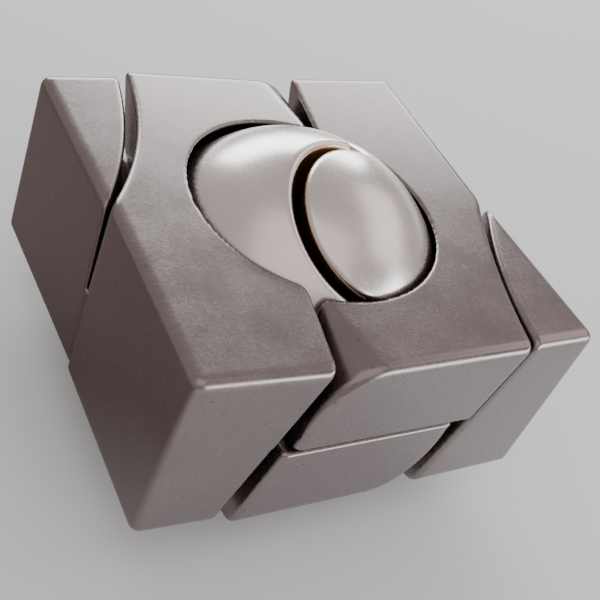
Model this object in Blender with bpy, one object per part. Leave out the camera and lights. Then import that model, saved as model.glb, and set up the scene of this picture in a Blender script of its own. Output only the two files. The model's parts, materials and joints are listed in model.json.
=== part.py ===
"""Take-apart metal puzzle: a split ball caught in a square frame.

The frame is four castings placed by half turns about X, Y and Z. They are alike, but the upper
right one leaves a shallower recess for its neighbour's post. Each casting fills half of its layer
and has one corner post that runs through both layers. A dowel pin joins the castings in pairs
where their ends lie over each other, so the frame is two hooked pairs: the front pair (upper right
and lower left) and the back pair (upper left and lower right). They hook round a ball made of two
equal halves. The back pair stands a little opened and twisted in its play.

Metres, +Z up. X runs along the frame's front, Y towards its back. The origin is the middle of the
whole puzzle's bounding box; the ball's middle is just in front of it.
"""
import math

import bmesh
import bpy
from mathutils import Matrix, Vector

MM = 0.001

# Frame
SIDE = 44.0 * MM                # length of each edge of the square frame
HEIGHT = 20.8 * MM              # height of the frame
GAP = 0.3 * MM                  # face-to-face gap between neighbouring castings
OUTER_ROUND = 0.9 * MM          # rounding of the frame's outer edges
ROUND_SEGMENTS = 3
HALF_SIDE = SIDE / 2
HALF_HEIGHT = HEIGHT / 2

# The slanted seam between two castings, seen on the front face and on the top
SEAM_MID_X = -10.65 * MM        # where it crosses mid-height on the front face
SEAM_LEAN = 0.262               # sideways run for each unit of height
SEAM_SWEEP = 0.17               # sideways run for each unit from the front face inwards

# The corner post, and the recess that the neighbour leaves for it
POST_END_Y = -0.78 * MM         # where the post's wall meets the side face, at mid-height
POST_END_LEAN = 0.06            # that point's run along Y for each unit of height
POST_BULGE = 1.3 * MM           # how far the wall bows from its chord
RECESS = (0.25 * MM, 1.85 * MM)           # the recess's play at the front or back face, and its wall's bow
SHALLOW_RECESS = (-0.9 * MM, 0.9 * MM)    # the same for the upper right casting's recess
ARC_STEPS = 12

# The rounded end of each casting, a quarter of an ellipse that shrinks towards the ball
END_ROUND_OUTER = (7.0 * MM, 9.4 * MM)    # width and height at the outer face
END_ROUND_INNER = (1.6 * MM, 2.6 * MM)    # width and height beside the ball
END_INNER_Y = 13.5 * MM
END_PLAY = 0.6 * MM                       # play between the end and its neighbour's seam wall
END_STEPS = 8

# Ball and its seat
BALL_RADIUS = 16.15 * MM
SEAT_RADIUS = 16.75 * MM
SEAT_MIDDLE = Vector((0.1, 0.2, 0.0)) * MM      # the seat keeps clear of the ball as castings swing
SPHERE_SEGMENTS = 64
SPHERE_RINGS = 32
LOBE_ANGLE = math.radians(34.5)           # half angle of the round lobe that each half carries
LOBE_PLAY = math.radians(1.4)             # taken off the lobe and added to its recess
PARTING_GAP = 0.7 * MM                    # between the halves' flat faces if both sat on one middle
HALF_SHIFT = 0.2 * MM                     # each half stands this far out from the ball's middle
LOBE_AXIS = Vector((0.235, -0.388, 0.891))  # direction of the upper lobe
PARTING_AXIS = Vector((-0.955, 0.196, 0.221))  # direction from the right half to the left half

# Dowel pins
PIN_RADIUS = 1.2 * MM
PIN_LENGTH = 9.0 * MM
PIN_HOLE_RADIUS = 1.35 * MM
PIN_HOLE_DEPTH = 4.8 * MM
PIN_SEGMENTS = 24
PIN_Y = (SEAT_MIDDLE.y + SEAT_RADIUS + HALF_SIDE) / 2   # middle of the wall behind the seat

# How the back pair stands at rest, against the front pair
UPPER_LEFT_SWING = math.radians(-1.7)     # each back casting's turn about the back pin
LOWER_RIGHT_SWING = math.radians(1.85)
BACK_TWIST = math.radians(1.95)           # the pair's turn about the front-to-back axis
BACK_TILT = math.radians(-0.5)            # the pair's turn about the left-to-right axis
BACK_SHIFT = Vector((0.05, -0.1, 0.0)) * MM

# From the ball's middle to the middle of the whole puzzle's box
ORIGIN_SHIFT = Vector((-0.11, -0.18, 0.0)) * MM


def clear_scene():
    for obj in list(bpy.data.objects):
        bpy.data.objects.remove(obj, do_unlink=True)


def make_material(name, colour, roughness):
    material = bpy.data.materials.new(name)
    material.use_nodes = True
    shader = material.node_tree.nodes["Principled BSDF"]
    shader.inputs["Base Color"].default_value = (*colour, 1.0)
    shader.inputs["Roughness"].default_value = roughness
    shader.inputs["Metallic"].default_value = 1.0
    return material


def link_mesh(name, mesh):
    obj = bpy.data.objects.new(name, mesh)
    bpy.context.scene.collection.objects.link(obj)
    return obj


def object_from_bmesh(name, bm):
    bmesh.ops.recalc_face_normals(bm, faces=bm.faces)
    mesh = bpy.data.meshes.new(name)
    bm.to_mesh(mesh)
    bm.free()
    return link_mesh(name, mesh)


def loft(name, rings):
    """A closed solid through rings of points that have the same count."""
    bm = bmesh.new()
    loops = [[bm.verts.new(point) for point in ring] for ring in rings]
    count = len(loops[0])
    for low, high in zip(loops, loops[1:]):
        for i in range(count):
            j = (i + 1) % count
            bm.faces.new((low[i], low[j], high[j], high[i]))
    bm.faces.new(list(reversed(loops[0])))
    bm.faces.new(loops[-1])
    return object_from_bmesh(name, bm)


def box(name, low, high):
    corners = [(low[0], low[1]), (high[0], low[1]), (high[0], high[1]), (low[0], high[1])]
    return loft(name, [[(x, y, z) for x, y in corners] for z in (low[2], high[2])])


def sphere(name, radius):
    bm = bmesh.new()
    bmesh.ops.create_uvsphere(bm, u_segments=SPHERE_SEGMENTS, v_segments=SPHERE_RINGS, radius=radius)
    return object_from_bmesh(name, bm)


def cylinder(name, radius, z_low, z_high, segments):
    angles = [2 * math.pi * i / segments for i in range(segments)]
    ring = [(radius * math.cos(a), radius * math.sin(a)) for a in angles]
    return loft(name, [[(x, y, z) for x, y in ring] for z in (z_low, z_high)])


def cone(name, half_angle, length, segments, direction):
    """A cone with its tip at the origin, opening along +Z or -Z."""
    bm = bmesh.new()
    tip = bm.verts.new((0, 0, 0))
    radius = length * math.tan(half_angle)
    ring = []
    for i in range(segments):
        angle = 2 * math.pi * (i + 0.5) / segments
        ring.append(bm.verts.new((radius * math.cos(angle), radius * math.sin(angle), direction * length)))
    for i in range(segments):
        bm.faces.new((tip, ring[i], ring[(i + 1) % segments]))
    bm.faces.new(ring)
    return object_from_bmesh(name, bm)


def bake(obj):
    """Replace the object's mesh by its evaluated one, and drop its modifiers."""
    bpy.context.view_layer.update()
    evaluated = obj.evaluated_get(bpy.context.evaluated_depsgraph_get())
    mesh = bpy.data.meshes.new_from_object(evaluated)
    obj.modifiers.clear()
    obj.data = mesh


def cut(obj, cutter):
    modifier = obj.modifiers.new("cut", "BOOLEAN")
    modifier.operation = "DIFFERENCE"
    modifier.solver = "EXACT"
    modifier.object = cutter
    bake(obj)
    bpy.data.objects.remove(cutter, do_unlink=True)


def round_edges(obj, width):
    bevel = obj.modifiers.new("round", "BEVEL")
    bevel.width = width
    bevel.segments = ROUND_SEGMENTS
    bevel.limit_method = "ANGLE"
    bevel.angle_limit = math.radians(40)
    bake(obj)


def weld(mesh):
    """Join the points that the cuts leave within a thousandth of a millimetre of each other."""
    bm = bmesh.new()
    bm.from_mesh(mesh)
    bmesh.ops.remove_doubles(bm, verts=bm.verts, dist=0.001 * MM)
    bmesh.ops.dissolve_degenerate(bm, edges=bm.edges, dist=0.001 * MM)
    bm.to_mesh(mesh)
    bm.free()


def smooth(mesh):
    mesh.shade_smooth()
    mesh.set_sharp_from_angle(angle=math.radians(30))


def arc_points(start, end, bulge, steps):
    """Points on a circular arc from start to end that bows to the left of that direction."""
    chord = end - start
    half = chord.length / 2
    radius = (half * half + bulge * bulge) / (2 * bulge)
    left = Vector((-chord.y, chord.x)).normalized()
    centre = (start + end) / 2 - left * (radius - bulge)
    first = math.atan2(start.y - centre.y, start.x - centre.x)
    last = math.atan2(end.y - centre.y, end.x - centre.x)
    sweep = (last - first + math.pi) % (2 * math.pi) - math.pi
    points = []
    for i in range(steps + 1):
        angle = first + sweep * i / steps
        points.append(centre + radius * Vector((math.cos(angle), math.sin(angle))))
    return points


def seam_x(y, z):
    """The front seam's X at depth y and height z."""
    return SEAM_MID_X + SEAM_LEAN * z + SEAM_SWEEP * (y + HALF_SIDE)


def side_outline_y(z):
    """Where the casting's side face ends, at height z."""
    return POST_END_Y + POST_END_LEAN * z


def post_wall(z, play):
    """The post's wall at height z below mid-height, from the side face to the front face."""
    side_end = Vector((-HALF_SIDE, side_outline_y(z)))
    front_end = Vector((seam_x(-HALF_SIDE, z) + play, -HALF_SIDE))
    return arc_points(side_end, front_end, POST_BULGE, ARC_STEPS)


def recess_wall(z, recess):
    """The recess for the neighbour's post at height z, from the back face to the side face."""
    play, bulge = recess
    back_end = Vector((seam_x(-HALF_SIDE, -z) + play, HALF_SIDE))
    side_end = Vector((-HALF_SIDE, side_outline_y(z)))
    return arc_points(back_end, side_end, bulge, ARC_STEPS)


def overshoot(points):
    """The same wall, carried on one step past each end so that it leaves the casting's faces."""
    return [2 * points[0] - points[1], *points, 2 * points[-1] - points[-2]]


def below_layer_cutter():
    """Everything below mid-height except the front left post."""
    far = SIDE
    rings = []
    for z in (-HALF_HEIGHT - GAP, GAP / 2):
        wall = overshoot(post_wall(z, -GAP / 2))
        ring = [(-far, wall[0].y)] + [(p.x, p.y) for p in wall] + [(wall[-1].x, -far)]
        ring += [(far, -far), (far, far), (-far, far)]
        rings.append([(x, y, z) for x, y in ring])
    return loft("below_layer", rings)


def post_recess_cutter(recess):
    """Room for the neighbour's post at the back left corner."""
    far = SIDE
    rings = []
    for z in (0.0, HALF_HEIGHT + GAP):
        wall = overshoot(recess_wall(z, recess))
        ring = [(wall[0].x, far)] + [(p.x, p.y) for p in wall] + [(-far, wall[-1].y), (-far, far)]
        rings.append([(x, y, z) for x, y in ring])
    return loft("post_recess", rings)


def front_seam_cutter():
    """Everything right of the front seam, from in front of the frame to just past its middle."""
    rings = []
    for z in (-GAP, HALF_HEIGHT + GAP):
        front, back = -HALF_SIDE - GAP, GAP
        near, far = (seam_x(y, z) - GAP / 2 for y in (front, back))
        ring = [(near, front), (SIDE, front), (SIDE, back), (far, back)]
        rings.append([(x, y, z) for x, y in ring])
    return loft("front_seam", rings)


def end_profile(y):
    """The back end's outline at depth y, as (x, z) points from the underside to the top."""
    reach = (y - END_INNER_Y) / (HALF_SIDE - END_INNER_Y)
    width, height = (
        inner + (outer - inner) * max(reach, 0.0)
        for inner, outer in zip(END_ROUND_INNER, END_ROUND_OUTER)
    )
    spring = HALF_HEIGHT - height
    centre_x = -seam_x(-y, spring) - GAP / 2 - END_PLAY - width
    points = [(centre_x + width + SEAM_LEAN * (spring + GAP), -GAP)]
    for i in range(END_STEPS + 1):
        angle = math.pi / 2 * i / END_STEPS
        points.append((centre_x + width * math.cos(angle), spring + height * math.sin(angle)))
    points.append((centre_x, HALF_HEIGHT + GAP))
    return points


def back_end_cutter():
    """Everything right of the casting's rounded back end."""
    rings = []
    for y in (0.0, END_INNER_Y, HALF_SIDE + GAP):
        profile = end_profile(y)
        ring = [(SIDE, -GAP)] + profile + [(SIDE, HALF_HEIGHT + GAP)]
        rings.append([(x, y, z) for x, z in ring])
    return loft("back_end", rings)


def casting_mesh(recess):
    """One frame casting, placed as the upper left one; the puzzle's middle is its origin."""
    corner = Vector((HALF_SIDE, HALF_SIDE, HALF_HEIGHT))
    casting = box("casting", -corner, corner)
    round_edges(casting, OUTER_ROUND)
    cut(casting, below_layer_cutter())
    cut(casting, post_recess_cutter(recess))
    cut(casting, front_seam_cutter())
    cut(casting, back_end_cutter())
    seat = sphere("seat", SEAT_RADIUS)
    seat.location = SEAT_MIDDLE
    cut(casting, seat)
    pin_hole = cylinder("pin_hole", PIN_HOLE_RADIUS, -GAP, PIN_HOLE_DEPTH, PIN_SEGMENTS)
    pin_hole.location = (0, PIN_Y, 0)
    cut(casting, pin_hole)
    mesh = casting.data
    bpy.data.objects.remove(casting, do_unlink=True)
    weld(mesh)
    smooth(mesh)
    return mesh


def ball_half_mesh():
    """One ball half: the -X hemisphere with a round lobe round +Z and a round recess round -Z."""
    reach = 2 * BALL_RADIUS
    half = sphere("ball_half", BALL_RADIUS)
    other_side = box("other_side", (-PARTING_GAP / 2, -reach, -reach), (reach, reach, reach))
    cut(other_side, cone("lobe", LOBE_ANGLE - LOBE_PLAY, 3 * reach, SPHERE_SEGMENTS, 1))
    cut(half, other_side)
    cut(half, cone("recess", LOBE_ANGLE + LOBE_PLAY, reach, SPHERE_SEGMENTS, -1))
    mesh = half.data
    bpy.data.objects.remove(half, do_unlink=True)
    smooth(mesh)
    return mesh


def empty(name, matrix, parent=None):
    obj = bpy.data.objects.new(name, None)
    bpy.context.scene.collection.objects.link(obj)
    obj.parent = parent
    obj.matrix_local = matrix
    return obj


def place(name, mesh, material, parent, matrix):
    """A piece that shares a mesh, in its parent's frame."""
    obj = link_mesh(name, mesh)
    if not mesh.materials:
        mesh.materials.append(material)
    obj.parent = parent
    obj.matrix_local = matrix
    return obj


def half_turn(axis):
    return Matrix.Rotation(math.pi, 4, axis)


def about(point, matrix):
    """The matrix applied about a point instead of the origin."""
    return Matrix.Translation(point) @ matrix @ Matrix.Translation(-point)


def ball_axes():
    """The ball's own axes: X from the right half to the left one, Z to the upper lobe."""
    z = LOBE_AXIS.normalized()
    x = (PARTING_AXIS - PARTING_AXIS.dot(z) * z).normalized()
    y = z.cross(x)
    return Matrix((x, y, z)).transposed().to_4x4()


def build_frame(origin):
    pewter = make_material("dark_pewter", (0.3, 0.26, 0.26), 0.3)
    steel = make_material("pin_steel", (0.55, 0.55, 0.56), 0.3)
    casting = casting_mesh(RECESS)
    shallow = casting_mesh(SHALLOW_RECESS)
    front_pin = Vector((0, -PIN_Y, 0))
    back_pin = Vector((0, PIN_Y, 0))

    place("upper_right_casting", shallow, pewter, origin, half_turn("Z"))
    front_hinge = empty("front_pin_axis", Matrix.Translation(front_pin), origin)
    place(
        "lower_left_casting", casting, pewter, front_hinge,
        Matrix.Translation(-front_pin) @ half_turn("X"),
    )

    lean = Vector((BACK_TILT, BACK_TWIST, 0))
    lean = about(back_pin, Matrix.Rotation(lean.length, 4, lean.normalized()))
    back_pair = empty("back_pair_axis", Matrix.Translation(BACK_SHIFT) @ lean, origin)
    upper_left_swing, lower_right_swing = (
        about(back_pin, Matrix.Rotation(swing, 4, "Z")) for swing in (UPPER_LEFT_SWING, LOWER_RIGHT_SWING)
    )
    place("upper_left_casting", casting, pewter, back_pair, upper_left_swing)
    back_hinge = empty("back_pin_axis", Matrix.Translation(back_pin), back_pair)
    place(
        "lower_right_casting", casting, pewter, back_hinge,
        Matrix.Translation(-back_pin) @ lower_right_swing @ half_turn("Y"),
    )

    pin = cylinder("pin", PIN_RADIUS, -PIN_LENGTH / 2, PIN_LENGTH / 2, PIN_SEGMENTS)
    pin_mesh = pin.data
    bpy.data.objects.remove(pin, do_unlink=True)
    smooth(pin_mesh)
    place("front_pin", pin_mesh, steel, front_hinge, Matrix.Identity(4))
    place("back_pin", pin_mesh, steel, back_hinge, Matrix.Identity(4))


def build_ball(origin):
    silver = make_material("ball_silver", (0.78, 0.7, 0.68), 0.25)
    half = ball_half_mesh()
    ball = empty("ball_axis", ball_axes(), origin)
    place("ball_half_right", half, silver, ball, Matrix.Translation((-HALF_SHIFT, 0, 0)))
    place("ball_half_left", half, silver, ball, Matrix.Translation((HALF_SHIFT, 0, 0)) @ half_turn("Y"))


def build():
    clear_scene()
    origin = empty("puzzle", Matrix.Translation(ORIGIN_SHIFT))
    build_frame(origin)
    build_ball(origin)
    bpy.context.view_layer.update()


build()
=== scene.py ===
"""The look of a cast-metal take-apart puzzle: a split ball caught in a square frame.

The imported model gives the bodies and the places. Each visible casting and ball half is made again
here with rounded edges: a formula gives the signed distance to its surface, and a fine net of quads
is laid on that surface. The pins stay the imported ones.

The shape functions work in millimetres in the piece's own frame, and the scene is in metres.
"""

import json
import math

import bpy
import numpy as np
from mathutils import Matrix, Vector


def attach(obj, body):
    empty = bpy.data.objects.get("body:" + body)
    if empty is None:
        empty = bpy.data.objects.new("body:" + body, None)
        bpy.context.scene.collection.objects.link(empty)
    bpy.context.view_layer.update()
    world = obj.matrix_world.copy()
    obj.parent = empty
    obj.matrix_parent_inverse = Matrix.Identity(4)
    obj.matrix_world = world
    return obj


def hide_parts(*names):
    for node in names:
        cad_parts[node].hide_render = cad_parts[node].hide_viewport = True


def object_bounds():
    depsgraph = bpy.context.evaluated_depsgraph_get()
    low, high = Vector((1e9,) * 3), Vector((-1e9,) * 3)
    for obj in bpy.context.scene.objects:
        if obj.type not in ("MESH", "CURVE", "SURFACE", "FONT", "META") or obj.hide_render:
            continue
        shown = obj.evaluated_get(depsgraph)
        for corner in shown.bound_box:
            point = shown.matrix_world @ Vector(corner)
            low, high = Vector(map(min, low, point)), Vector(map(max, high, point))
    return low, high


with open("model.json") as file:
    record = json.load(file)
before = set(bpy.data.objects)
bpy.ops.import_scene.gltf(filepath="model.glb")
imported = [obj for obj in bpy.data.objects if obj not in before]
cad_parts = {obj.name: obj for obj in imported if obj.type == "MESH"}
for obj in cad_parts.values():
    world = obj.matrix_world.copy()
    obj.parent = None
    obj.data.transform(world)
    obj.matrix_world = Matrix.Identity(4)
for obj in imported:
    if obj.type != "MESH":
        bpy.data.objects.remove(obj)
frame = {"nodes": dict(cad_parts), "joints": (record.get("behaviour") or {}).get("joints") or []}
CAD_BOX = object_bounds()

MM = 0.001

# ---------------------------------------------------------------- sizes, in millimetres
SIDE = 44.0                     # length of each edge of the square frame
HEIGHT = 20.8
HALF_SIDE = SIDE / 2
HALF_HEIGHT = HEIGHT / 2
GAP = 0.3                       # between neighbouring castings

OUTER_ROUND = 1.1               # rounding of the frame's outer edges
WALL_ROUND = 0.45               # rounding where a seam wall meets an outer face
RIM_ROUND = 0.35                # rounding of the seat's rim
LAYER_ROUND = 0.16              # rounding of the edges along the mid-height seam
TIP_ROUND = 0.9                 # rounding of the upright edge between the front seam and the seat

SEAM_MID_X = -10.65             # the front seam's X at mid-height, on the front face
SEAM_LEAN = 0.262               # its sideways run for each unit of height
SEAM_SWEEP = 0.17               # its sideways run for each unit inwards

POST_END_Y = -0.78              # where the post's wall meets the side face at mid-height
POST_END_LEAN = 0.06            # how far back that edge runs for each unit of height
POST_BULGE = 1.3                # how far the wall bows from its chord
RECESS = (0.25, 1.85)           # the recess's play at the front or back face, and its wall's bow
SHALLOW_RECESS = (-0.9, 0.9)    # the same for the upper right casting's recess
POST_OVERLAP = 2.5              # how far the post reaches up inside its own upper layer

END_ROUND_OUTER = (7.0, 9.4)    # width and height of the rounded end at the outer face
END_ROUND_INNER = (1.6, 2.6)    # and beside the ball
END_INNER_Y = 13.5              # up to here it is rounded as beside the ball
END_PLAY = 0.6                  # how far it stays back from the neighbour, besides the gap

BALL_RADIUS = 16.14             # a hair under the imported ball's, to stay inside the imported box
SEAT_RADIUS = 16.75
SEAT_MIDDLE = (0.1, 0.2)        # off the frame's middle, to keep the swinging castings off the ball
LOBE_ANGLE = math.radians(34.5)  # from the lobe's middle to its rim, seen from the ball's middle
LOBE_PLAY = math.radians(1.4)   # taken off the lobe and added to the recess
PARTING_GAP = 0.7               # between the halves' flat faces if both sat on one middle
HALF_SHIFT = 0.2                # how far each half is moved out from the ball's middle
BALL_EDGE_ROUND = 0.7
LOBE_AXIS = Vector((0.235, -0.388, 0.891))      # from the ball's middle to the upper lobe's
PARTING_AXIS = Vector((-0.955, 0.196, 0.221))   # roughly across the halves' flat faces

PIN_HOLE_RADIUS = 1.35
PIN_HOLE_DEPTH = 4.8
PIN_Y = (SEAT_MIDDLE[1] + SEAT_RADIUS + HALF_SIDE) / 2

UPPER_LEFT_SWING = math.radians(-1.7)           # at rest, about the back pin
LOWER_RIGHT_SWING = math.radians(1.85)
BACK_TWIST = math.radians(1.95)                 # of the back pair about the frame's Y
BACK_TILT = math.radians(-0.5)                  # and about its X
BACK_SHIFT = Vector((0.05, -0.1, 0.0))

CASTING_CELL = 0.29             # spacing of the surface nets
BALL_CELL = 0.34
NET_MARGIN = 0.5                # from a piece's largest reach to the edge of its net's grid


# ---------------------------------------------------------------- signed distances
def rounded_meet(distances, radius):
    """The shape inside every given surface, with its edges rounded."""
    stack = np.stack(distances)
    over = np.maximum(stack + radius, 0.0)
    return np.minimum(stack.max(0), -radius) + np.sqrt((over * over).sum(0))


def seam_x(y, z):
    return SEAM_MID_X + SEAM_LEAN * z + SEAM_SWEEP * (y + HALF_SIDE)


def side_outline_y(z):
    return POST_END_Y + POST_END_LEAN * z


def arc_distance(x, y, start, end, bulge):
    """Distance beyond the arc that bows left of the line from start to end, for each height."""
    dx, dy = end[0] - start[0], end[1] - start[1]
    chord = np.hypot(dx, dy)
    radius = (chord * chord / 4 + bulge * bulge) / (2 * bulge)
    left_x, left_y = -dy / chord, dx / chord
    centre_x = (start[0] + end[0]) / 2 - left_x * (radius - bulge)
    centre_y = (start[1] + end[1]) / 2 - left_y * (radius - bulge)
    return np.hypot(x - centre_x, y - centre_y) - radius


def post_wall_distance(x, y, z):
    front_x = seam_x(-HALF_SIDE, z) - GAP / 2
    return arc_distance(x, y, (-HALF_SIDE, side_outline_y(z)), (front_x, -HALF_SIDE), POST_BULGE)


def recess_wall_distance(x, y, z, recess):
    play, bulge = recess
    back_x = seam_x(-HALF_SIDE, -z) + play
    return -arc_distance(x, y, (back_x, HALF_SIDE), (-HALF_SIDE, side_outline_y(z)), bulge)


def front_seam_distance(x, y, z):
    slope = math.sqrt(1 + SEAM_LEAN ** 2 + SEAM_SWEEP ** 2)
    wall = (x - seam_x(y, z) + GAP / 2) / slope
    return np.where(y < 0, wall, -SIDE)


def top_distance(x, y, z):
    """The top face, which turns down into the rounded end behind the ball."""
    reach = np.maximum((y - END_INNER_Y) / (HALF_SIDE - END_INNER_Y), 0.0)
    width = END_ROUND_INNER[0] + (END_ROUND_OUTER[0] - END_ROUND_INNER[0]) * reach
    height = END_ROUND_INNER[1] + (END_ROUND_OUTER[1] - END_ROUND_INNER[1]) * reach
    spring = HALF_HEIGHT - height
    centre_x = -seam_x(-y, spring) - GAP / 2 - END_PLAY - width
    run, rise = x - centre_x, z - spring
    flat = z - HALF_HEIGHT
    near = np.sqrt((run / width) ** 2 + (rise / height) ** 2)
    steep = np.sqrt((run / width ** 2) ** 2 + (rise / height ** 2) ** 2)
    curved = near * (near - 1) / np.maximum(steep, 1e-6)
    wall = (run - width + SEAM_LEAN * rise) / math.sqrt(1 + SEAM_LEAN ** 2)
    end = np.where(rise > 0, curved, wall)
    return np.where((y > 0) & (run > 0), end, flat)


def casting_distance(points, recess):
    """A casting placed as the upper left one, with the frame's middle at the origin."""
    x, y, z = points[..., 0], points[..., 1], points[..., 2]
    sides = [-HALF_SIDE - x, -HALF_SIDE - y]
    seat_x, seat_y = SEAT_MIDDLE
    seat = SEAT_RADIUS - np.sqrt((x - seat_x) ** 2 + (y - seat_y) ** 2 + z * z)
    block = rounded_meet([*sides, y - HALF_SIDE, top_distance(x, y, z)], OUTER_ROUND)
    block = rounded_meet([block, recess_wall_distance(x, y, z, recess)], WALL_ROUND)
    inner = rounded_meet([front_seam_distance(x, y, z), seat], TIP_ROUND)
    block = rounded_meet([block, inner], RIM_ROUND)
    upper = rounded_meet([block, GAP / 2 - z], LAYER_ROUND)
    post = rounded_meet([*sides, -HALF_HEIGHT - z], OUTER_ROUND)
    post = rounded_meet([post, post_wall_distance(x, y, z)], WALL_ROUND)
    post = np.maximum(post, z - POST_OVERLAP)
    pin_hole = np.maximum(np.hypot(x, y - PIN_Y) - PIN_HOLE_RADIUS, z - PIN_HOLE_DEPTH)
    return np.maximum(np.minimum(upper, post), -pin_hole)


def cone_distance(points, half_angle, direction):
    """Distance from a cone that opens along +Z or -Z; inside is negative."""
    across = np.hypot(points[..., 0], points[..., 1])
    return across * math.cos(half_angle) - direction * points[..., 2] * math.sin(half_angle)


def ball_half_distance(points):
    """The -X half of the ball, with a round lobe round +Z and a round recess round -Z."""
    lobe = cone_distance(points, LOBE_ANGLE - LOBE_PLAY, 1)
    recess = cone_distance(points, LOBE_ANGLE + LOBE_PLAY, -1)
    inside = np.minimum(points[..., 0] + PARTING_GAP / 2, lobe)
    ball = np.linalg.norm(points, axis=-1) - BALL_RADIUS
    return rounded_meet([ball, np.maximum(inside, -recess)], BALL_EDGE_ROUND)


# ---------------------------------------------------------------- from a distance to a mesh
def grid_corner(offset, shape):
    return tuple(slice(o, n - 1 + o) for o, n in zip(offset, shape))


def surface_net(distance, low, high, cell):
    """Points and quads of a net round the surface: one point in each cell that it crosses."""
    axes = [np.arange(a, b + cell, cell) for a, b in zip(low, high)]
    nodes = np.stack(np.meshgrid(*axes, indexing="ij"), axis=-1)
    values = distance(nodes)
    inside = values < 0
    corners = [(i, j, k) for i in (0, 1) for j in (0, 1) for k in (0, 1)]
    count = sum(inside[grid_corner(c, values.shape)].astype(int) for c in corners)
    active = (count > 0) & (count < 8)
    number = np.full(active.shape, -1)
    number[active] = np.arange(active.sum())

    total = np.zeros((int(active.sum()), 3))
    hits = np.zeros(int(active.sum()))
    for a in corners:
        for axis in range(3):
            if a[axis]:
                continue
            b = tuple(1 if i == axis else v for i, v in enumerate(a))
            slice_a, slice_b = grid_corner(a, values.shape), grid_corner(b, values.shape)
            va, vb = values[slice_a][active], values[slice_b][active]
            crossed = (va < 0) != (vb < 0)
            share = np.where(crossed, va / np.where(crossed, va - vb, 1.0), 0.0)[:, None]
            point = nodes[slice_a][active] * (1 - share) + nodes[slice_b][active] * share
            total += point * crossed[:, None]
            hits += crossed
    points = total / hits[:, None]

    quads = []
    for axis in range(3):
        u, v = (axis + 1) % 3, (axis + 2) % 3
        first = [slice(1, -1)] * 3
        first[axis] = slice(0, -1)
        second = list(first)
        second[axis] = slice(1, None)
        start, stop = inside[tuple(first)], inside[tuple(second)]
        crossing = np.argwhere(start != stop)
        step_u, step_v = np.eye(3, dtype=int)[u], np.eye(3, dtype=int)[v]
        base = crossing + step_u + step_v
        around = [base - step_u - step_v, base - step_v, base, base - step_u]
        quad = np.stack([number[tuple(c.T)] for c in around], axis=1)
        leaving = start[tuple(crossing.T)]
        quads.append(np.where(leaving[:, None], quad, quad[:, ::-1]))
    return points, np.concatenate(quads)


def gradient(distance, points, step=0.01):
    parts = []
    for axis in np.eye(3) * step:
        parts.append((distance(points + axis) - distance(points - axis)) / (2 * step))
    return np.stack(parts, axis=-1)


def settle(distance, points, rounds, least_slope=0.05, longest_step=0.3):
    """Moves the points onto the surface, by bounded steps where the distance hardly changes."""
    for _ in range(rounds):
        slope = gradient(distance, points)
        steep = np.maximum((slope * slope).sum(-1), least_slope)
        step = distance(points)[:, None] * slope / steep[:, None]
        points = points - np.clip(step, -longest_step, longest_step)
    return points


def relax(points, quads, share):
    """Moves each point towards the middle of its neighbours."""
    total = np.zeros_like(points)
    count = np.zeros(len(points))
    for i in range(4):
        a, b = quads[:, i], quads[:, (i + 1) % 4]
        np.add.at(total, a, points[b])
        np.add.at(total, b, points[a])
        np.add.at(count, a, 1)
        np.add.at(count, b, 1)
    return points + share * (total / count[:, None] - points)


def net(distance, reach, cell, rounds=4):
    """An even net on the surface, which lies within reach of the origin on each axis."""
    points, quads = surface_net(distance, -reach, reach, cell)
    for _ in range(rounds):
        points = settle(distance, relax(points, quads, 0.5), 1)
    return settle(distance, points, rounds), quads


# ---------------------------------------------------------------- materials
OWN = "own"                     # each new mesh's attribute: its points in the piece's frame

GOLDEN_HIGHLIGHT = (0.56, 0.39, 0.25, 1)  # painted highlight: the golden sheen along the ball's seam edges
GOLDEN_DEPTH = (0.2, 0.6)       # how far below the ball's surface it starts and is full

STREAK_TURN = [math.radians(a) for a in (25, 18, 38)]
STREAK_STRETCH = (0.16, 3.2, 3.2)   # of the noise: long streaks, fine across
STREAKS = {"scale": 1.6, "detail": 5}
CLOUDS = {"scale": 0.16, "detail": 3}
GRAIN = {"scale": 4.5, "detail": 2}
SPECKS = {"scale": 2.3, "detail": 1, "low": 0, "from_low": 0.71, "from_high": 0.78}   # rare peaks
GRAIN_SHARE = 0.25              # of the relief, beside the streaks
WEAR_RANGE = (-1.6, 1.6)        # of streaks and clouds together, which set the roughness
ROUGHNESS_SPREAD = (0.8, 1.25)  # times the roughness, in the smoothest and the roughest spots


def new_material(name):
    material = bpy.data.materials.new(name)
    material.use_nodes = True
    return material, material.node_tree.nodes, material.node_tree.links


def add(nodes, kind, **settings):
    """A new node; settings name its sockets (with spaces as _) or, in small letters, its options."""
    node = nodes.new(kind)
    for key, value in settings.items():
        if key[0].isupper():
            node.inputs[key.replace("_", " ")].default_value = value
        else:
            setattr(node, key, value)
    return node


def own_millimetres(nodes, links, packed):
    """Where a point lies in its own piece's frame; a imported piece's mesh has no such attribute."""
    if not packed:
        return add(nodes, "ShaderNodeAttribute", attribute_name=OWN).outputs["Vector"]
    scaled = add(nodes, "ShaderNodeVectorMath", operation="SCALE", Scale=1 / MM)
    links.new(add(nodes, "ShaderNodeTexCoord").outputs["Object"], scaled.inputs[0])
    return scaled.outputs[0]


def turned_place(nodes, links, place, turn, stretch):
    turned = add(nodes, "ShaderNodeMapping", vector_type="POINT", Rotation=turn)
    scaled = add(nodes, "ShaderNodeMapping", vector_type="POINT", Scale=stretch)
    links.new(place, turned.inputs["Vector"])
    links.new(turned.outputs["Vector"], scaled.inputs["Vector"])
    return scaled.outputs["Vector"]


def spread(nodes, links, value, source, target=(0, 1)):
    """The value, carried over from the source range to the target range and held within it."""
    node = add(nodes, "ShaderNodeMapRange", From_Min=source[0], From_Max=source[1])
    node.inputs["To Min"].default_value, node.inputs["To Max"].default_value = target
    links.new(value, node.inputs["Value"])
    return node.outputs["Result"]


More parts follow.
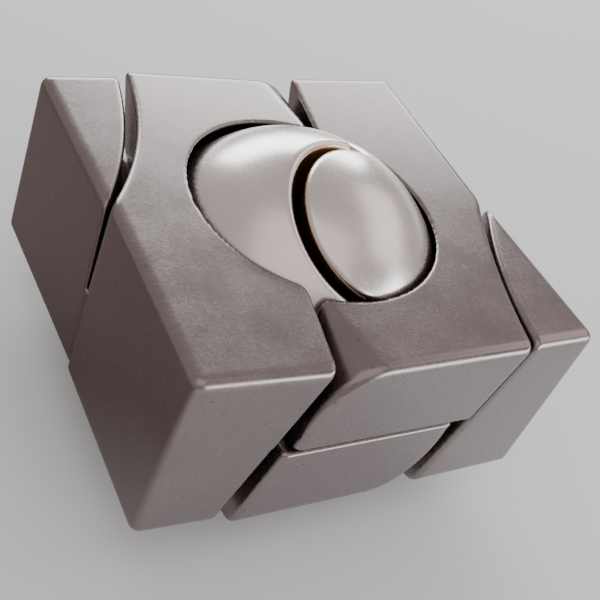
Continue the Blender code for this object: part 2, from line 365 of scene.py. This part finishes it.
def noise(nodes, links, vector, scale, detail, low=-1, from_low=0.3, from_high=0.7):
    """Noise, carried over from its usual range, or the one given, to the range from low to 1."""
    texture = add(nodes, "ShaderNodeTexNoise", Scale=scale, Detail=detail, Roughness=0.6)
    links.new(vector, texture.inputs["Vector"])
    return spread(nodes, links, texture.outputs["Fac"], (from_low, from_high), (low, 1))


def combine(nodes, links, operation, a, b):
    """The sum, product or the like of a socket and either another socket or a number."""
    node = add(nodes, "ShaderNodeMath", operation=operation)
    links.new(a, node.inputs[0])
    if isinstance(b, (int, float)):
        node.inputs[1].default_value = b
    else:
        links.new(b, node.inputs[1])
    return node.outputs[0]


def tint(nodes, links, amount, colour):
    """The colour, made lighter or darker by the amount."""
    node = add(nodes, "ShaderNodeVectorMath", operation="SCALE")
    node.inputs[0].default_value = colour
    links.new(amount, node.inputs["Scale"])
    return node.outputs[0]


def bump(nodes, links, height, distance):
    node = add(nodes, "ShaderNodeBump", Strength=1.0, Distance=distance)
    links.new(height, node.inputs["Height"])
    return node.outputs["Normal"]


def mixed_colours(nodes, links, share, first, second):
    """The first colour at share 0 and the second at share 1; each is a socket or a plain colour."""
    mix = add(nodes, "ShaderNodeMix", data_type="RGBA")
    links.new(share, mix.inputs["Factor"])
    colour_inputs = [socket for socket in mix.inputs if socket.type == "RGBA"]
    for socket, colour in zip(colour_inputs, (first, second)):
        if isinstance(colour, tuple):
            socket.default_value = colour
        else:
            links.new(colour, socket)
    return next(socket for socket in mix.outputs if socket.type == "RGBA")


def painted_edge_highlight(nodes, links, place, colour):
    """The colour, turning golden just inside the ball's surface: a painted highlight along its seam
    edges.
    """
    from_middle = add(nodes, "ShaderNodeVectorMath", operation="LENGTH")
    links.new(place, from_middle.inputs[0])
    band = [BALL_RADIUS - depth for depth in GOLDEN_DEPTH]
    share = spread(nodes, links, from_middle.outputs["Value"], band)
    return mixed_colours(nodes, links, share, colour, GOLDEN_HIGHLIGHT)


def worn_metal_and_sheen(name, colour, roughness, streak, mottle, pits, bump_height,
               paints_edge_highlight=False, packed=False):
    """Plated cast metal: fine slanted polishing streaks, soft mottling, a few tiny dark pits and, if
    asked, a painted golden highlight along the ball's seam edges.
    """
    material, nodes, links = new_material(name)
    shader = nodes["Principled BSDF"]
    shader.inputs["Metallic"].default_value = 1.0
    plain = own_millimetres(nodes, links, packed)
    slanted = turned_place(nodes, links, plain, STREAK_TURN, STREAK_STRETCH)
    lines = noise(nodes, links, slanted, **STREAKS)
    clouds = noise(nodes, links, plain, **CLOUDS)
    grain = noise(nodes, links, plain, **GRAIN)
    specks = noise(nodes, links, plain, **SPECKS)

    shade = combine(nodes, links, "MULTIPLY", lines, streak)
    for source, weight in ((clouds, mottle), (specks, -pits)):
        shade = combine(nodes, links, "ADD", shade, combine(nodes, links, "MULTIPLY", source, weight))
    shaded = tint(nodes, links, combine(nodes, links, "ADD", shade, 1.0), colour)
    # painted highlight: the ball's seam edges turn golden
    if paints_edge_highlight:
        shaded = painted_edge_highlight(nodes, links, plain, shaded)
    links.new(shaded, shader.inputs["Base Color"])

    wear = combine(nodes, links, "ADD", lines, clouds)
    roughnesses = [roughness * share for share in ROUGHNESS_SPREAD]
    links.new(spread(nodes, links, wear, WEAR_RANGE, roughnesses), shader.inputs["Roughness"])

    soft_grain = combine(nodes, links, "MULTIPLY", grain, GRAIN_SHARE)
    relief = combine(nodes, links, "ADD", lines, soft_grain)
    links.new(bump(nodes, links, relief, bump_height), shader.inputs["Normal"])
    return material


# ---------------------------------------------------------------- pieces
def half_turn(axis):
    return Matrix.Rotation(math.pi, 4, axis)


def about(point, matrix):
    return Matrix.Translation(point) @ matrix @ Matrix.Translation(-point)


def in_metres(matrix):
    """The same placing, with its shift in metres instead of millimetres."""
    placed = matrix.copy()
    placed.translation = matrix.translation * MM
    return placed


def joint(name):
    return next(j for j in frame["joints"] if j["name"] == name)


def ball_axes():
    z = LOBE_AXIS.normalized()
    x = (PARTING_AXIS - PARTING_AXIS.dot(z) * z).normalized()
    return Matrix((x, z.cross(x), z)).transposed().to_4x4()


def place(name, points, quads, material, matrix, node, body, slot):
    """A piece whose mesh lies in its place; each point keeps where it was in the piece's frame."""
    ball_middle = Matrix.Translation(Vector(joint("ball_spin")["pos_m"]))
    turned = np.array(ball_middle @ in_metres(matrix))
    placed = points * MM @ turned[:3, :3].T + turned[:3, 3]
    mesh = bpy.data.meshes.new(name)
    mesh.from_pydata(placed.tolist(), [], quads.tolist())
    mesh.validate()
    mesh.shade_smooth()
    own = mesh.attributes.new(OWN, "FLOAT_VECTOR", "POINT")
    own.data.foreach_set("vector", points.astype(np.float32).ravel())
    mesh.materials.append(material)
    piece = bpy.data.objects.new(name, mesh)
    bpy.context.scene.collection.objects.link(piece)
    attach(piece, body)
    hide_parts(node)


def build_castings():
    pewter = worn_metal_and_sheen(
        "dark_pewter", (0.28, 0.232, 0.227), roughness=0.25,
        streak=0.06, mottle=0.04, pits=0.35, bump_height=6e-7,
    )
    reach = Vector((HALF_SIDE, HALF_SIDE, HALF_HEIGHT)) + Vector.Fill(3, NET_MARGIN)
    deep, shallow = (
        net(lambda points: casting_distance(points, recess), reach, CASTING_CELL)
        for recess in (RECESS, SHALLOW_RECESS)
    )
    back_pin = Vector((0, PIN_Y, 0))
    turn = Vector((BACK_TILT, BACK_TWIST, 0))
    lean = about(back_pin, Matrix.Rotation(turn.length, 4, turn.normalized()))
    back_pair = Matrix.Translation(BACK_SHIFT) @ lean
    upper_left_swing, lower_right_swing = (
        about(back_pin, Matrix.Rotation(swing, 4, "Z"))
        for swing in (UPPER_LEFT_SWING, LOWER_RIGHT_SWING)
    )
    castings = {
        "upper_left": (deep, back_pair @ upper_left_swing),
        "upper_right": (shallow, half_turn("Z")),
        "lower_left": (deep, half_turn("X")),
        "lower_right": (deep, back_pair @ lower_right_swing @ half_turn("Y")),
    }
    for body, (shape, matrix) in castings.items():
        place(body + "_shell", *shape, pewter, matrix, body + "_casting", body, "frame_casting")


def build_ball():
    # the ball gets a painted golden highlight along its seam edges
    silver = worn_metal_and_sheen(
        "ball_silver", (0.82, 0.735, 0.71), roughness=0.27,
        streak=0.012, mottle=0.02, pits=0.0, bump_height=2e-7, paints_edge_highlight=True,
    )
    reach = Vector.Fill(3, BALL_RADIUS + NET_MARGIN)
    shape = net(ball_half_distance, reach, BALL_CELL)
    right = ball_axes() @ Matrix.Translation((-HALF_SHIFT, 0, 0))
    left = ball_axes() @ Matrix.Translation((HALF_SHIFT, 0, 0)) @ half_turn("Y")
    place("ball_left_shell", *shape, silver, left, "ball_half_left", "ball_left", "ball_metal")
    place("ball_right_shell", *shape, silver, right, "ball_half_right", "ball_right", "ball_metal")


def build_pins():
    steel = worn_metal_and_sheen(
        "pin_steel", (0.55, 0.55, 0.56), roughness=0.3,
        streak=0.05, mottle=0.03, pits=0.0, bump_height=6e-7, packed=True,
    )
    for name in ("front_pin", "back_pin"):
        node = frame["nodes"][name]
        node.data.materials.clear()
        node.data.materials.append(steel)


# ---------------------------------------------------------------- studio
CAMERA_LENS = 68.09             # on Blender's 36 mm sensor
CAMERA_AZIMUTH = -43.416        # in degrees, as all angles of the studio
CAMERA_ELEVATION = 39.708
CAMERA_ROLL = 24.93
CAMERA_DISTANCE = 0.12147
CAMERA_TARGET = Vector((1.375, -2.472, -1.024))   # from the ball's middle, in millimetres

WARM = (1.0, 0.92, 0.91)
WORLD_STRENGTH = 0.52

# Each softbox: its name, size, radiance, azimuth, elevation, distance and colour.
SOFTBOXES = [
    ("back_softbox", (0.52, 0.20), 6.2, 158, 20, 0.5, (0.90, 0.99, 1.0)),
    ("low_front_softbox", (0.45, 0.16), 5.5, 42, 11, 0.5, (0.86, 0.96, 1.0)),
    ("overhead_softbox", (1.2, 0.9), 0.52, -30, 62, 0.9, WARM),
    ("right_softbox", (0.5, 0.3), 1.0, 88, 36, 0.6, (1.0, 0.94, 0.92)),
]

FLOOR_SIZE = 1.2
FLOOR = (0.9, 0.9, 0.9, 1)      # as the camera sees it
PAINTED_REFLECTION_FRONT = (0.9, 0.95, 0.98, 1)      # painted reflection: the floor as the metal mirrors it, cool in front
# painted shade: the floor as the metal mirrors it behind on the left, dark
PAINTED_SHADE_BACK = (0.3, 0.25, 0.25, 1)
FLOOR_CHANGE = (-0.005, 0.022)  # from the painted reflection in front to the painted shade behind: metres past the origin, back leftwards
BACK_LEFT = (-0.7, 0.7, 0)


def heading(azimuth, elevation):
    """The direction whose azimuth runs from the front (-Y) towards the right (+X)."""
    a, e = math.radians(azimuth), math.radians(elevation)
    return Vector((math.sin(a) * math.cos(e), -math.cos(a) * math.cos(e), math.sin(e)))


def floor_colour_and_painted_reflection(nodes, links):
    """Even and pale to the camera; in the metal a painted reflection, cool in front, with painted
    shade behind on the left.
    """
    along = add(nodes, "ShaderNodeVectorMath", operation="DOT_PRODUCT")
    along.inputs[1].default_value = BACK_LEFT
    links.new(add(nodes, "ShaderNodeNewGeometry").outputs["Position"], along.inputs[0])
    share = spread(nodes, links, along.outputs["Value"], FLOOR_CHANGE)
    # painted reflection and painted shade, seen only in the metal
    painted_reflection = mixed_colours(nodes, links, share, PAINTED_REFLECTION_FRONT, PAINTED_SHADE_BACK)
    glossy = add(nodes, "ShaderNodeLightPath").outputs["Is Glossy Ray"]
    return mixed_colours(nodes, links, glossy, FLOOR, painted_reflection)


def build_floor():
    bpy.ops.mesh.primitive_plane_add(size=FLOOR_SIZE, location=(0, 0, CAD_BOX[0].z))
    floor = bpy.context.object
    floor.name = "floor"
    material, nodes, links = new_material("pale_floor")
    nodes["Principled BSDF"].inputs["Roughness"].default_value = 0.9
    links.new(floor_colour_and_painted_reflection(nodes, links), nodes["Principled BSDF"].inputs["Base Color"])
    floor.data.materials.append(material)


def build_world():
    world = bpy.data.worlds.new("studio")
    world.use_nodes = True
    background = world.node_tree.nodes["Background"]
    background.inputs["Color"].default_value = (*WARM, 1)
    background.inputs["Strength"].default_value = WORLD_STRENGTH
    bpy.context.scene.world = world


def softbox(name, size, radiance, azimuth, elevation, distance, colour):
    """A rectangular light that faces the puzzle."""
    light = bpy.data.lights.new(name, "AREA")
    light.shape = "RECTANGLE"
    light.size, light.size_y = size
    light.energy = radiance * math.pi * size[0] * size[1]
    light.color = colour
    lamp = bpy.data.objects.new(name, light)
    bpy.context.scene.collection.objects.link(lamp)
    away = heading(azimuth, elevation)
    lamp.location = away * distance
    lamp.rotation_mode = "QUATERNION"
    lamp.rotation_quaternion = away.to_track_quat("Z", "Y")


def build_lights():
    for settings in SOFTBOXES:
        softbox(*settings)


def build_camera():
    data = bpy.data.cameras.new("camera")
    data.lens = CAMERA_LENS
    data.clip_start, data.clip_end = 0.005, 10
    camera = bpy.data.objects.new("camera", data)
    bpy.context.scene.collection.objects.link(camera)
    away = heading(CAMERA_AZIMUTH, CAMERA_ELEVATION)
    target = Vector(joint("ball_spin")["pos_m"]) + CAMERA_TARGET * MM
    camera.location = target + away * CAMERA_DISTANCE
    camera.rotation_mode = "QUATERNION"
    roll = Matrix.Rotation(math.radians(CAMERA_ROLL), 3, "Z").to_quaternion()
    camera.rotation_quaternion = away.to_track_quat("Z", "Y") @ roll
    bpy.context.scene.camera = camera


build_camera()
build_castings()
build_ball()
build_pins()
build_floor()
build_world()
build_lights()
